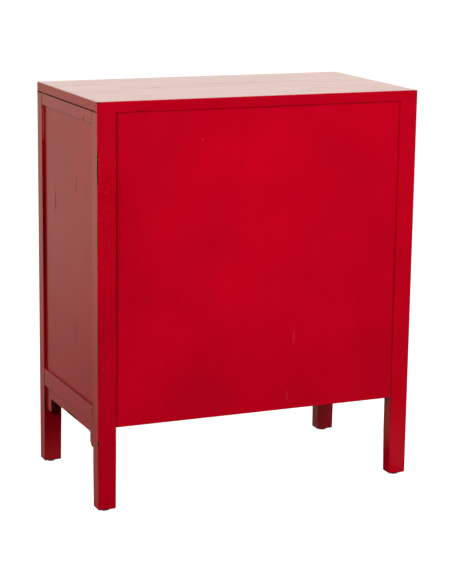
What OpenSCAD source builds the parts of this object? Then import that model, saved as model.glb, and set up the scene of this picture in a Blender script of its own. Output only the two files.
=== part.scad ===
/* [Case] */
// Width over the legs
case_w = 700; // [620:5:800]
// Depth from the front faces of the legs to their back faces
case_d = 380; // [340:5:440]
// Height of the top surface above the floor
case_h = 830; // [780:5:900]
// Thickness of the top board
top_t = 21; // [18:0.5:26]
// Rounding of the top board's upper edges and corners
top_round = 1.5; // [0.5:0.5:3]
// Height of the shadow gap between the top board and a side frame
shadow_h = 2.5; // [1:0.5:4]
// Depth of the shadow gap
shadow_d = 5; // [3:1:8]
// Wood left at both ends of the shadow gap
shadow_stop = 1; // [0.5:0.5:3]

/* [Legs] */
// Width of a leg across the case
leg_w = 39; // [36:1:46]
// Depth of a leg from front to back
leg_d = 31; // [30:1:36]
// Amount that a leg's inner face draws in across the case, down to the foot
taper_w = 1; // [0:0.5:4]
// The same from front to back
taper_d = 3; // [0:0.5:5]
// Rounding of a leg's long edges
leg_round = 1.5; // [0.5:0.5:3]
// Bevel round the foot of a leg
foot_bevel = 2; // [1:0.5:3]
// Radius of the glide under a leg
glide_r = 9.5; // [7:0.5:11]
// Height of a glide below the leg
glide_h = 4; // [3:0.5:6]
// Rounding of a glide's lower edge
glide_round = 2.5; // [1:0.5:2.5]
// Radius of a glide's nail
nail_r = 1.2; // [1:0.1:1.6]
// Length of a glide's nail
nail_l = 14; // [10:1:18]

/* [Rails] */
// Thickness of the rails
rail_t = 22; // [20:1:26]
// Height of the top rails
top_rail_h = 24; // [22:1:30]
// Height of the bottom rails
bottom_rail_h = 37; // [32:1:44]
// Height of the bottom rails' lower edge above the floor
bottom_rail_z = 177; // [150:1:210]
// Height of the rails between the drawers and the doors
middle_rail_h = 24; // [22:1:30]
// Height of the rail behind the drawers, which stops them
stop_rail_h = 50; // [40:1:60]
// Rounding of the long edges of rails, stiles and drawer fronts
edge_round = 1; // [0.5:0.25:1.5]
// Length of the tenons on the rails
tenon_l = 14; // [10:1:18]
// Thickness of the tenons
tenon_t = 8; // [6:1:8]
// Shoulder above and below a tenon
shoulder = 5; // [4:0.5:6]
// Wood left between a panel's groove and a tenon
groove_wall = 2; // [1.5:0.5:3]
// Clearance round a tenon in its mortise
joint_fit = 0.15; // [0.05:0.05:0.3]

/* [Side and back panels] */
// Thickness of a side panel
panel_t = 8; // [6:1:8]
// Depth of the side panels and aprons behind the faces of the frame
recess = 5; // [3:0.5:6]
// Depth that a panel's edge reaches into its groove
tongue = 6; // [4:0.5:7]
// Clearance on each face of a panel in its groove
groove_fit = 0.2; // [0.1:0.05:0.4]
// Room for a panel to swell, at each edge of its groove
swell_room = 1; // [0.5:0.5:2]
// Thickness of the back panel
back_t = 9; // [6:1:10]
// Gap between the back panel and the legs and top board
back_gap = 0.6; // [0.4:0.2:2]
// Width of the bevel along the back panel's edges
back_bevel_w = 4; // [2:0.5:5]
// Depth of that bevel
back_bevel_d = 1.2; // [0.8:0.2:3]
// Height that the back panel reaches below the bottom rail
back_drop = 2; // [0:0.5:4]

/* [Aprons] */
// Thickness of the apron boards
apron_t = 10; // [8:1:14]
// Height of an apron below its rail
apron_h = 23.5; // [18:0.5:30]
// Height of the brackets at an apron's ends, below the rail
bracket_h = 53; // [40:1:60]
// Width of a bracket
bracket_w = 31; // [24:1:40]
// Rounding of the bracket beside a back leg, and of both front brackets
bracket_round = 14; // [8:1:18]
// Rounding of the side bracket beside a front leg
bracket_corner = 4; // [2:1:8]
// Fillet between an apron's lower edge and a bracket
apron_fillet = 3; // [1:0.5:5]
// Thickness and height of the tongue that holds an apron in its rail
apron_tongue = 5; // [4:0.5:5]

/* [Inside] */
// Thickness of the bottom board
bottom_t = 12; // [9:1:14]
// Thickness of the shelf
shelf_t = 14; // [12:1:18]
// Height of the shelf's upper face above the bottom board
shelf_z = 211; // [160:1:240]
// Clearance round the shelf and the bottom board
board_gap = 0.5; // [0.3:0.1:1]
// Width and height of the cleats below the shelf and the bottom board
cleat = 18; // [16:1:20]
// Thickness of the drawer runners
runner_t = 12; // [10:1:14]
// Width of the bearing face of a runner
bearer_w = 20; // [16:1:26]
// Height of the guides beside the drawers
guide_h = 12; // [8:1:20]
// Width of an outer guide
guide_w = 12; // [8:1:14]
// Length of the stub tenons on the runners
stub_l = 6; // [4:0.5:6]
// Thickness of these tenons
stub_t = 8; // [6:1:8]
// Length of the tenons on the upright between the drawers
divider_tenon_l = 8; // [5:1:10]

/* [Drawers] */
// Height of the drawer openings
drawer_open_h = 124; // [100:1:150]
// Width of the upright between the drawers
divider_w = 26; // [24:1:36]
// Thickness of the drawer fronts
front_t = 18; // [16:1:20]
// Gap round a drawer front
drawer_gap = 1.2; // [0.8:0.1:2]
// Thickness of the drawer sides and back
side_t = 12; // [10:1:14]
// Height of the drawer sides
side_h = 114; // [90:1:116]
// Running clearance below a drawer and behind it
run_gap = 0.3; // [0.2:0.05:0.5]
// Thickness of a drawer bottom
drawer_bottom_t = 6; // [4:0.5:6]
// Height of a drawer bottom above the lower edge of the sides
bottom_rise = 8; // [7:0.5:12]
// Depth that a drawer bottom reaches into its grooves
bottom_tongue = 4.5; // [3:0.5:6]
// Length of the dovetails in a drawer front
tail_l = 10; // [8:1:12]
// Width of a dovetail at its end
tail_w = 20; // [16:1:22]
// Amount that a dovetail narrows on each side towards its root
tail_flare = 2.5; // [1.5:0.5:4]
// Number of dovetails on each end of a drawer side
tail_count = 3; // [2:1:3]
// Wood above and below the row of dovetails
tail_margin = 4; // [3:0.5:6]
// Clearance round a dovetail
tail_fit = 0.1; // [0.05:0.05:0.2]

/* [Doors] */
// Thickness of a door
door_t = 18; // [16:1:20]
// Gap above and below a door
door_gap = 1.5; // [1:0.25:2.5]
// Gap between a door's rounded edge and its leg
hinge_gap = 0.5; // [0.4:0.1:1]
// Gap between the two doors
meeting_gap = 2; // [1.5:0.5:4]
// Width of a door's stiles
stile_w = 45; // [40:1:60]
// Height of a door's rails
door_rail_h = 45; // [40:1:60]
// Thickness of a door panel
door_panel_t = 6; // [5:0.5:7]
// Width of the bevel round a door's panel
panel_bevel = 3; // [1:0.5:4]
// Length of the tenons on the door rails
door_tenon_l = 24; // [18:1:26]
// Radius of the pivot pins
pin_r = 4; // [3:0.5:5]
// Length of a pin inside the door
pin_in_door = 14; // [10:1:20]
// Length of a pin inside the rail of the case
pin_in_rail = 12; // [8:1:16]
// Radial running clearance of a pin in its rail
pin_fit = 0.08; // [0.03:0.01:0.1]

/* [Hardware] */
// Radius of a pull's round base
base_r = 15; // [12:0.5:18]
// Thickness of that base at its middle
base_t = 3; // [2.5:0.5:4]
// Thickness of the base's raised rim
rim_t = 1.8; // [1.6:0.1:2.2]
// Width of that rim
rim_w = 3; // [2:0.5:4]
// Thickness of the dished band inside the rim
dish_t = 1.2; // [0.8:0.1:1.4]
// Radius of the base's raised middle
boss_r = 7; // [6:0.5:8]
// Radius of the eye that holds a ring
eye_r = 4.5; // [4:0.5:6]
// Thickness of the eye
eye_t = 4; // [3:0.5:5]
// Distance from the base to the ring's pivot
eye_out = 5.5; // [4.5:0.5:8]
// Radius of a ring, to the middle of its wire
ring_r = 13; // [11:0.5:18]
// Radius of the ring's wire
wire_r = 1.75; // [1.25:0.25:2]
// Clearance of the wire in its eye
ring_fit = 0.5; // [0.45:0.05:0.6]
// Radius of the screw behind a pull
pull_screw_r = 2; // [1.5:0.25:2.5]
// Length of that screw
pull_screw_l = 13; // [8:1:13]
// Radius of a wood screw's shank
screw_r = 2; // [1.5:0.25:2.5]
// Radius of a wood screw's head
screw_head_r = 3.8; // [3.5:0.1:4]
// Height of a wood screw's conical head
screw_head_h = 2.4; // [2:0.1:3]
// Length of the screws that hold the cleats
cleat_screw_l = 24; // [22:1:25]
// Distance between the two screws of a cleat
cleat_screw_gap = 190; // [120:5:220]
// Distance of the inner screws of the top board from the middle of the case
top_screw_near = 90; // [60:5:140]
// Distance of the outer ones
top_screw_far = 250; // [180:5:255]
// Length of the screws that hold the top board
top_screw_l = 32; // [28:1:34]
// Depth of the counterbore below a top board screw
counterbore = 6; // [4:0.5:8]
// Clearance round screws, nails and pins that stay put
drive_fit = 0.03; // [0.01:0.01:0.05]
// Width of the magnetic catch
catch_w = 60; // [50:1:80]
// Height of the magnetic catch
catch_h = 13; // [10:1:16]
// Depth of the magnetic catch
catch_d = 24; // [20:1:30]
// Width of the slots for its magnets' poles
pole_w = 1.5; // [1:0.5:2]
// Distance of a slot from the nearest face of the catch
pole_in = 3; // [2:0.5:3.5]
// Thickness of a strike plate
strike_t = 1.2; // [0.8:0.1:2]
// Height of a strike plate
strike_h = 11; // [8:1:13]
// Width of a strike plate
strike_w = 20; // [14:1:24]

/* [Hidden] */
$fn = 48;

red = [0.72, 0.02, 0.10];
stain = [0.42, 0.22, 0.14];
brass = [0.72, 0.56, 0.28];
steel = [0.62, 0.63, 0.65];
grey = [0.78, 0.78, 0.76];
left = -1;
right = 1;
// Length that a cutting shape runs past the face it opens
past = 1;
half_w = case_w / 2;
half_d = case_d / 2;
// The pulls stand out at the front, so the case sits this far behind the middle
pull_reach = base_t + eye_out + eye_r;
case_y = pull_reach / 2;
// Clear spans between the legs
front_span = case_w - 2 * leg_w;
side_span = case_d - 2 * leg_d;
inner_x = front_span / 2;
inner_y = side_span / 2;
frame_top = case_h - top_t;
top_rail_z = frame_top - top_rail_h;
bottom_rail_top = bottom_rail_z + bottom_rail_h;
middle_rail_top = top_rail_z - drawer_open_h;
middle_rail_z = middle_rail_top - middle_rail_h;
// The back rails fill the legs' depth behind the back panel
back_rail_t = leg_d - back_t;
tongue_shoulder = tongue + swell_room + groove_wall;
panel_back = half_w - recess - panel_t;
shelf_top = bottom_rail_top + shelf_z;
door_w = inner_x - hinge_gap - meeting_gap / 2;
door_z = bottom_rail_top + door_gap;
door_h = middle_rail_z - bottom_rail_top - 2 * door_gap;
door_in = meeting_gap / 2;
hinge_x = inner_x - hinge_gap - door_t / 2;
hinge_y = door_t / 2 - half_d;
drawer_w = inner_x - divider_w / 2 - 2 * drawer_gap;
drawer_x = (inner_x + divider_w / 2) / 2;
drawer_z = middle_rail_top + run_gap;
front_back = front_t - half_d;
drawer_end = inner_y - run_gap;
back_front = drawer_end - side_t;
tail_first = bottom_rise + drawer_bottom_t + tail_margin + tail_w / 2;
tail_pitch = (side_h - tail_first - tail_margin - tail_w / 2) / (tail_count - 1);
door_pull_x = door_in + stile_w / 2;
door_pull_z = door_z + door_h / 2;
drawer_pull_z = middle_rail_top + drawer_open_h / 2;
pivot_out = base_t + eye_out;
foot_x = half_w - (leg_w - taper_w) / 2;
foot_y = half_d - (leg_d - taper_d) / 2;
taper_top = bottom_rail_z - bracket_h;

// A box between two opposite corners
module block(low, high) {
  translate(low) cube(high - low);
}

// Everything stands behind the middle by half the reach of the pulls
module placed() {
  translate([0, case_y, 0]) children();
}

// The left half of the case mirrors the right half
module sided(side) {
  mirror([side < 0 ? 1 : 0, 0, 0]) children();
}

module on_front(z) {
  translate([0, -half_d, z]) children();
}

module on_back(z) {
  translate([0, inner_y, z]) children();
}

module on_side(side, z) {
  sided(side) translate([half_w, 0, z]) rotate([0, 0, 90]) children();
}

// Rectangle with round corners, about its middle
module round_rect(w, d, r) {
  square([w - 2 * r, d], center = true);
  square([w, d - 2 * r], center = true);
  for (sx = [-1, 1], sy = [-1, 1]) translate([sx * (w / 2 - r), sy * (d / 2 - r)]) circle(r);
}

// Side view of a leg, outer face at zero, that draws in from the brackets down to the foot
module leg_outline(w, foot_w) {
  polygon([[foot_bevel, glide_h], [foot_w - foot_bevel, glide_h], [foot_w, glide_h + foot_bevel],
    [w, taper_top], [w, frame_top], [0, frame_top], [0, glide_h + foot_bevel]]);
}

// Both tenons of a rail that lies along X, with its outer face at zero
module tenons(length, thick, low, high, reach = tenon_l, grow = 0) {
  for (end = [-1, 1])
    translate([end * (length + reach) / 2, thick / 2, (low + high) / 2])
      cube([reach + 2 * grow, tenon_t + 2 * grow, high - low + 2 * grow], center = true);
}

// Bar along X with eased long edges, its outer face and its underside at zero
module bar(length, thick, height) {
  translate([-length / 2, thick / 2, height / 2]) rotate([90, 0, 90])
    linear_extrude(length) round_rect(thick, height, edge_round);
}

// Upright with eased long edges, between two opposite corners
module post(low, high) {
  size = high - low;
  translate([low[0] + size[0] / 2, low[1] + size[1] / 2, low[2]])
    linear_extrude(size[2]) round_rect(size[0], size[1], edge_round);
}

// Bar with tenons on its ends
module rail(length, thick, height, low, high) {
  bar(length, thick, height);
  tenons(length, thick, low, high);
}

module front_top_tenons(grow = 0) {
  on_front(top_rail_z) tenons(front_span, rail_t, shoulder, top_rail_h - shoulder, tenon_l, grow);
}

module front_middle_tenons(grow = 0) {
  on_front(middle_rail_z) tenons(front_span, rail_t, shoulder, middle_rail_h - shoulder, tenon_l, grow);
}

module front_bottom_tenons(grow = 0) {
  on_front(bottom_rail_z)
    tenons(front_span, rail_t, tongue_shoulder, bottom_rail_h - shoulder, tenon_l, grow);
}

module back_top_tenons(grow = 0) {
  on_back(top_rail_z) tenons(front_span, back_rail_t, shoulder, top_rail_h - shoulder, tenon_l, grow);
}

module back_drawer_tenons(grow = 0) {
  on_back(middle_rail_z) tenons(front_span, back_rail_t, shoulder, stop_rail_h - shoulder, tenon_l, grow);
}

module back_bottom_tenons(grow = 0) {
  on_back(bottom_rail_z) tenons(front_span, back_rail_t, shoulder, bottom_rail_h - shoulder, tenon_l, grow);
}

module side_top_tenons(side, grow = 0) {
  on_side(side, top_rail_z) tenons(side_span, rail_t, tongue_shoulder, top_rail_h - shoulder, tenon_l, grow);
}

module side_bottom_tenons(side, grow = 0) {
  on_side(side, bottom_rail_z)
    tenons(side_span, rail_t, tongue_shoulder, bottom_rail_h - tongue_shoulder, tenon_l, grow);
}

// Side panel, or with clearance the groove that takes its edges
module side_board(side, face = 0, edge = 0) {
  sided(side) block(
    [panel_back - face, -inner_y - tongue - edge, bottom_rail_top - tongue - edge],
    [half_w - recess + face, inner_y + tongue + edge, top_rail_z + tongue + edge]);
}

module glide_nail(side, end, grow = 0) {
  translate([side * foot_x, end * foot_y, glide_h / 2])
    cylinder(r = nail_r + grow, h = glide_h / 2 + nail_l + grow);
}

module leg_blank(side, end) {
  sided(side) mirror([0, end < 0 ? 1 : 0, 0]) intersection() {
    translate([half_w - leg_w / 2, half_d - leg_d / 2, glide_h])
      linear_extrude(frame_top - glide_h) round_rect(leg_w, leg_d, leg_round);
    translate([half_w, half_d, 0]) rotate([90, 0, 0]) mirror([1, 0, 0])
      linear_extrude(leg_d) leg_outline(leg_w, leg_w - taper_w);
    translate([half_w, half_d, 0]) rotate([90, 0, -90])
      linear_extrude(leg_w) leg_outline(leg_d, leg_d - taper_d);
  }
}

module leg(side, end) {
  color(red) placed() difference() {
    leg_blank(side, end);
    side_board(side, groove_fit, swell_room);
    side_top_tenons(side, joint_fit);
    side_bottom_tenons(side, joint_fit);
    if (end < 0) {
      front_top_tenons(joint_fit);
      front_middle_tenons(joint_fit);
      front_bottom_tenons(joint_fit);
    } else {
      back_top_tenons(joint_fit);
      back_drawer_tenons(joint_fit);
      back_bottom_tenons(joint_fit);
    }
    glide_nail(side, end, drive_fit);
  }
}

module leg_front_left() { leg(left, -1); }
module leg_front_right() { leg(right, -1); }
module leg_back_left() { leg(left, 1); }
module leg_back_right() { leg(right, 1); }

// Nail-on glide, flat where it stands
module glides() {
  color(grey) placed() for (side = [left, right], end = [-1, 1]) {
    translate([side * foot_x, end * foot_y, 0]) rotate_extrude()
      intersection() {
        square([glide_r, glide_h]);
        union() {
          square([glide_r - glide_round, glide_h]);
          translate([0, glide_round]) square([glide_r, glide_h - glide_round]);
          translate([glide_r - glide_round, glide_round]) circle(glide_round);
        }
      }
    glide_nail(side, end);
  }
}

// Places of the screws that rise through the front and back top rails
module at_top_screws() {
  for (side = [left, right], x = [top_screw_near, top_screw_far])
    for (y = [rail_t / 2 - half_d, inner_y + back_rail_t / 2])
      translate([side * x, y, top_rail_z + counterbore]) children();
}

// Countersunk screw, from the outside of its head along Z
module screw(length, grow = 0) {
  cylinder(r = screw_r + grow, h = length + grow);
  cylinder(r1 = screw_head_r + grow, r2 = screw_r + grow, h = screw_head_h);
}

module top_screws() {
  color(steel) placed() at_top_screws() screw(top_screw_l);
}

module top_screw_holes() {
  at_top_screws() {
    screw(top_screw_l, drive_fit);
    translate([0, 0, -counterbore - past]) cylinder(r = screw_head_r + drive_fit, h = counterbore + past);
  }
}

// Top board, eased all round and square underneath, where it meets the frame
module top_board() {
  color(red) placed() difference() {
    translate([0, 0, frame_top]) intersection() {
      linear_extrude(top_t) round_rect(case_w, case_d, top_round);
      translate([0, half_d, 0]) rotate([90, 0, 0])
        linear_extrude(case_d) round_rect(case_w, 2 * top_t, top_round);
      translate([-half_w, 0, 0]) rotate([90, 0, 90])
        linear_extrude(case_w) round_rect(case_d, 2 * top_t, top_round);
    }
    for (side = [left, right]) sided(side)
      block([half_w - shadow_d, shadow_stop - half_d, frame_top - past],
        [half_w + past, half_d - shadow_stop, frame_top + shadow_h]);
    top_screw_holes();
  }
}

module side_panel(side) {
  color(red) placed() difference() {
    side_board(side);
    at_shelf_cleat_screws(side) screw(cleat_screw_l, drive_fit);
  }
}

module side_panel_left() { side_panel(left); }
module side_panel_right() { side_panel(right); }

module side_top_rail(side) {
  color(red) placed() difference() {
    on_side(side, top_rail_z) rail(side_span, rail_t, top_rail_h, tongue_shoulder, top_rail_h - shoulder);
    side_board(side, groove_fit, swell_room);
  }
}

module side_top_rail_left() { side_top_rail(left); }
module side_top_rail_right() { side_top_rail(right); }

// Places of the screws through the cleats, heads inwards
module at_cleat_screws(side, face_x, z) {
  sided(side) for (end = [-1, 1])
    translate([face_x, end * cleat_screw_gap / 2, z]) rotate([0, 90, 0]) children();
}

module at_bottom_cleat_screws(side) {
  at_cleat_screws(side, half_w - rail_t - cleat, bottom_rail_top - bottom_t - cleat / 2) children();
}

module at_shelf_cleat_screws(side) {
  at_cleat_screws(side, panel_back - cleat, shelf_top - shelf_t - cleat / 2) children();
}

module side_bottom_rail(side) {
  color(red) placed() difference() {
    on_side(side, bottom_rail_z)
      rail(side_span, rail_t, bottom_rail_h, tongue_shoulder, bottom_rail_h - tongue_shoulder);
    side_board(side, groove_fit, swell_room);
    on_side(side, bottom_rail_z) apron_tongue_bar(side_span, groove_fit);
    at_bottom_cleat_screws(side) screw(cleat_screw_l, drive_fit);
  }
}

module side_bottom_rail_left() { side_bottom_rail(left); }
module side_bottom_rail_right() { side_bottom_rail(right); }

// Tongue of an apron, or with clearance its groove in the underside of the rail
module apron_tongue_bar(span, grow = 0) {
  translate([-span / 2 - past * sign(grow), recess + (apron_t - apron_tongue) / 2 - grow, -past])
    cube([span + 2 * past * sign(grow), apron_tongue + 2 * grow, apron_tongue + past + grow]);
}

// Corner piece that rounds off a bracket's lower inner corner
module corner_off(r) {
  difference() {
    translate([-past, -past]) square(r + past);
    translate([r, r]) circle(r);
  }
}

// Inside fillet between an apron's lower edge and a bracket
module fillet(r) {
  difference() {
    square(r);
    translate([r, 0]) circle(r);
  }
}

// Outline of an apron with its two brackets, hanging from zero
module apron_outline(span, round_low, round_high) {
  inside = span / 2 - bracket_w;
  difference() {
    translate([-span / 2, -bracket_h]) square([span, bracket_h]);
    translate([-inside, -bracket_h - past]) square([2 * inside, bracket_h - apron_h + past]);
    translate([-inside, -bracket_h]) mirror([1, 0]) corner_off(round_low);
    translate([inside, -bracket_h]) corner_off(round_high);
  }
  translate([-inside, -apron_h - apron_fillet]) fillet(apron_fillet);
  translate([inside, -apron_h - apron_fillet]) mirror([1, 0]) fillet(apron_fillet);
}

module apron(span, round_low, round_high) {
  translate([0, recess + apron_t, 0]) rotate([90, 0, 0])
    linear_extrude(apron_t) apron_outline(span, round_low, round_high);
  apron_tongue_bar(span);
}

module side_apron(side) {
  color(red) placed() on_side(side, bottom_rail_z) apron(side_span, bracket_corner, bracket_round);
}

module side_apron_left() { side_apron(left); }
module side_apron_right() { side_apron(right); }

module front_apron() {
  color(red) placed() on_front(bottom_rail_z) apron(front_span, bracket_round, bracket_round);
}

// Back panel with a bevel on its two long edges and its upper edge
module back_panel() {
  edge_x = inner_x - back_gap;
  low = bottom_rail_z - back_drop;
  high = frame_top - back_gap;
  face = half_d;
  color(red) placed() intersection() {
    translate([0, 0, low]) linear_extrude(high - low) polygon([
      [-edge_x, face - back_t], [edge_x, face - back_t], [edge_x, face - back_bevel_d],
      [edge_x - back_bevel_w, face], [back_bevel_w - edge_x, face], [-edge_x, face - back_bevel_d]]);
    translate([-half_w, 0, 0]) rotate([90, 0, 90]) linear_extrude(case_w) polygon([
      [face - back_t, low], [face, low], [face, high - back_bevel_d],
      [face - back_bevel_d, high], [face - back_t, high]]);
  }
}

module back_top_rail() {
  color(stain) placed() difference() {
    on_back(top_rail_z) rail(front_span, back_rail_t, top_rail_h, shoulder, top_rail_h - shoulder);
    top_screw_holes();
  }
}

// Stub tenons of the runners, or with clearance their mortises
module stubs(grow = 0) {
  middle = middle_rail_top - runner_t / 2;
  for (x = [bearer_w / 2 - inner_x, 0, inner_x - bearer_w / 2], y = [rail_t - half_d - stub_l, inner_y])
    block([x - stub_t / 2 - grow, y - grow, middle - stub_t / 2 - grow],
      [x + stub_t / 2 + grow, y + stub_l + grow, middle + stub_t / 2 + grow]);
}

module back_drawer_rail() {
  color(stain) placed() difference() {
    on_back(middle_rail_z) rail(front_span, back_rail_t, stop_rail_h, shoulder, stop_rail_h - shoulder);
    stubs(joint_fit);
  }
}

module back_bottom_rail() {
  color(stain) placed() on_back(bottom_rail_z)
    rail(front_span, back_rail_t, bottom_rail_h, shoulder, bottom_rail_h - shoulder);
}

// Tenons at both ends of the upright between the drawers, or their mortises
module divider_tenons(grow = 0) {
  wide = divider_w - 2 * shoulder;
  middle_y = rail_t / 2 - half_d;
  block([-wide / 2 - grow, middle_y - tenon_t / 2 - grow, middle_rail_top - divider_tenon_l - grow],
    [wide / 2 + grow, middle_y + tenon_t / 2 + grow, top_rail_z + divider_tenon_l + grow]);
}

module front_top_rail() {
  color(red) placed() difference() {
    on_front(top_rail_z) rail(front_span, rail_t, top_rail_h, shoulder, top_rail_h - shoulder);
    divider_tenons(joint_fit);
    top_screw_holes();
  }
}

// Pivot pins of a door, or with clearance their holes
module pins(side, grow = 0, deeper = 0) {
  length = pin_in_door + pin_in_rail + door_gap + deeper;
  sided(side) for (z = [door_z + pin_in_door - length, door_z + door_h - pin_in_door])
    translate([hinge_x, hinge_y, z]) cylinder(r = pin_r + grow, h = length);
}

module front_middle_rail() {
  color(red) placed() difference() {
    on_front(middle_rail_z) rail(front_span, rail_t, middle_rail_h, shoulder, middle_rail_h - shoulder);
    divider_tenons(joint_fit);
    stubs(joint_fit);
    for (side = [left, right]) pins(side, pin_fit, past);
  }
}

module front_bottom_rail() {
  color(red) placed() difference() {
    on_front(bottom_rail_z)
      rail(front_span, rail_t, bottom_rail_h, tongue_shoulder, bottom_rail_h - shoulder);
    on_front(bottom_rail_z) apron_tongue_bar(front_span, groove_fit);
    for (side = [left, right]) pins(side, pin_fit, past);
  }
}

module drawer_divider() {
  color(red) placed() {
    post([-divider_w / 2, -half_d, middle_rail_top], [divider_w / 2, rail_t - half_d, top_rail_z]);
    divider_tenons();
  }
}

// Outer runners: a bearer between the rails and a guide between the legs
module drawer_runners() {
  color(stain) placed() {
    for (side = [left, right]) sided(side) {
      block([inner_x - bearer_w, rail_t - half_d, middle_rail_top - runner_t],
        [inner_x, inner_y, middle_rail_top]);
      block([inner_x, -inner_y, middle_rail_top - runner_t],
        [inner_x + guide_w, inner_y, middle_rail_top + guide_h]);
    }
    intersection() {
      stubs();
      for (side = [left, right]) sided(side)
        block([inner_x - bearer_w, -half_d, middle_rail_top - runner_t],
          [inner_x, half_d, middle_rail_top]);
    }
  }
}

module centre_runner() {
  reach = divider_w / 2 + bearer_w;
  color(stain) placed() {
    block([-reach, rail_t - half_d, middle_rail_top - runner_t], [reach, inner_y, middle_rail_top]);
    block([-divider_w / 2, rail_t - half_d, middle_rail_top],
      [divider_w / 2, inner_y, middle_rail_top + guide_h]);
    intersection() {
      stubs();
      block([-reach, -half_d, middle_rail_top - runner_t], [reach, half_d, middle_rail_top]);
    }
  }
}

// Board inside the case, let in round the front legs
module inner_board(edge_x, top, thick) {
  color(stain) placed() difference() {
    block([-edge_x, rail_t - half_d + board_gap, top - thick], [edge_x, inner_y - board_gap, top]);
    for (side = [left, right]) sided(side)
      block([inner_x - board_gap, -half_d, top - thick - past], [half_w, board_gap - inner_y, top + past]);
  }
}

module bottom_board() { inner_board(half_w - rail_t - board_gap, bottom_rail_top, bottom_t); }

module bottom_cleats() {
  color(stain) placed() for (side = [left, right]) difference() {
    sided(side) block([half_w - rail_t - cleat, -inner_y, bottom_rail_top - bottom_t - cleat],
      [half_w - rail_t, inner_y, bottom_rail_top - bottom_t]);
    at_bottom_cleat_screws(side) screw(cleat_screw_l, drive_fit);
  }
}

module shelf() { inner_board(panel_back - board_gap, shelf_top, shelf_t); }

module shelf_cleats() {
  color(stain) placed() for (side = [left, right]) difference() {
    sided(side) block([panel_back - cleat, -inner_y, shelf_top - shelf_t - cleat],
      [panel_back, inner_y, shelf_top - shelf_t]);
    at_shelf_cleat_screws(side) screw(cleat_screw_l, drive_fit);
  }
}

module cleat_screws() {
  color(steel) placed() for (side = [left, right]) {
    at_bottom_cleat_screws(side) screw(cleat_screw_l);
    at_shelf_cleat_screws(side) screw(cleat_screw_l);
  }
}

// Double catch below the shelf, one magnet for each door
module magnetic_catch() {
  face = door_t - half_d + run_gap;
  top = shelf_top - shelf_t;
  color(grey) placed() difference() {
    block([-catch_w / 2, face, top - catch_h], [catch_w / 2, face + catch_d, top]);
    for (z = [top - pole_in, top - catch_h + pole_in])
      block([pole_in - catch_w / 2, face - past, z - pole_w / 2],
        [catch_w / 2 - pole_in, face + pole_in, z + pole_w / 2]);
  }
}

// Mortises for the tenons of a door's rails
module door_rail_tenons(side, grow = 0) {
  middle = door_in + door_w / 2;
  low = tongue_shoulder;
  high = door_rail_h - tongue_shoulder;
  for (z = [door_z, door_z + door_h - door_rail_h])
    translate([side * middle, (door_t - tenon_t) / 2 - half_d, z])
      tenons(door_w - 2 * stile_w, tenon_t, low, high, door_tenon_l, grow);
}

module door_board(side, face = 0, edge = 0) {
  sided(side) block(
    [door_in + stile_w - tongue - edge, recess - half_d - face, door_z + door_rail_h - tongue - edge],
    [door_in + door_w - stile_w + tongue + edge, recess + door_panel_t - half_d + face,
      door_z + door_h - door_rail_h + tongue + edge]);
}

// Trapezium that widens towards the front of a door
module bevel_profile(low, high) {
  wide = panel_bevel + past;
  polygon([[low - wide, -half_d - past], [low, panel_bevel - half_d],
    [high, panel_bevel - half_d], [high + wide, -half_d - past]]);
}

// Tool that bevels the frame round a door's panel, mitred at the corners
module door_bevel(side) {
  sided(side) intersection() {
    linear_extrude(case_h) bevel_profile(door_in + stile_w, door_in + door_w - stile_w);
    translate([half_w, 0, 0]) rotate([0, -90, 0])
      linear_extrude(half_w) bevel_profile(door_z + door_rail_h, door_z + door_h - door_rail_h);
  }
}

module door_pull_spot(side) {
  translate([side * door_pull_x, -half_d, door_pull_z]) rotate([90, 0, 0]) children();
}

module drawer_pull_spot(side) {
  translate([side * drawer_x, -half_d, drawer_pull_z]) rotate([90, 0, 0]) children();
}

module pull_screw(grow = 0) {
  translate([0, 0, -pull_screw_l - grow]) cylinder(r = pull_screw_r + grow, h = pull_screw_l + past);
}

// Outer stile, with its hinge edge rounded about the pivot
module door_hinge_stile(side) {
  color(red) placed() difference() {
    sided(side) translate([0, 0, door_z]) linear_extrude(door_h) {
      translate([door_in + door_w - stile_w, -half_d]) square([hinge_x - door_in - door_w + stile_w, door_t]);
      translate([hinge_x, hinge_y]) circle(door_t / 2);
    }
    door_rail_tenons(side, joint_fit);
    door_board(side, groove_fit, swell_room);
    door_bevel(side);
    pins(side, drive_fit);
  }
}

module strike(side, grow = 0) {
  middle_x = door_in + catch_w / 4;
  middle_z = shelf_top - shelf_t - catch_h / 2;
  sided(side) block(
    [middle_x - strike_w / 2 - grow, door_t - half_d - strike_t - grow, middle_z - strike_h / 2 - grow],
    [middle_x + strike_w / 2 + grow, door_t - half_d + past * sign(grow), middle_z + strike_h / 2 + grow]);
}

module door_meeting_stile(side) {
  color(red) placed() difference() {
    sided(side) post([door_in, -half_d, door_z], [door_in + stile_w, door_t - half_d, door_z + door_h]);
    door_rail_tenons(side, joint_fit);
    door_board(side, groove_fit, swell_room);
    door_bevel(side);
    strike(side, drive_fit);
    door_pull_spot(side) pull_screw(drive_fit);
  }
}

module door_rails(side) {
  color(red) placed() difference() {
    union() {
      for (z = [door_z, door_z + door_h - door_rail_h])
        translate([side * (door_in + door_w / 2), -half_d, z])
          bar(door_w - 2 * stile_w, door_t, door_rail_h);
      door_rail_tenons(side);
    }
    door_board(side, groove_fit, swell_room);
    door_bevel(side);
  }
}

module door_left_hinge_stile() { door_hinge_stile(left); }
module door_left_meeting_stile() { door_meeting_stile(left); }
module door_left_rails() { door_rails(left); }
module door_left_panel() { color(red) placed() door_board(left); }
module door_left_pins() { color(brass) placed() pins(left); }
module door_left_strike() { color(steel) placed() strike(left); }
module door_right_hinge_stile() { door_hinge_stile(right); }
module door_right_meeting_stile() { door_meeting_stile(right); }
module door_right_rails() { door_rails(right); }
module door_right_panel() { color(red) placed() door_board(right); }
module door_right_pins() { color(brass) placed() pins(right); }
module door_right_strike() { color(steel) placed() strike(right); }

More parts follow.
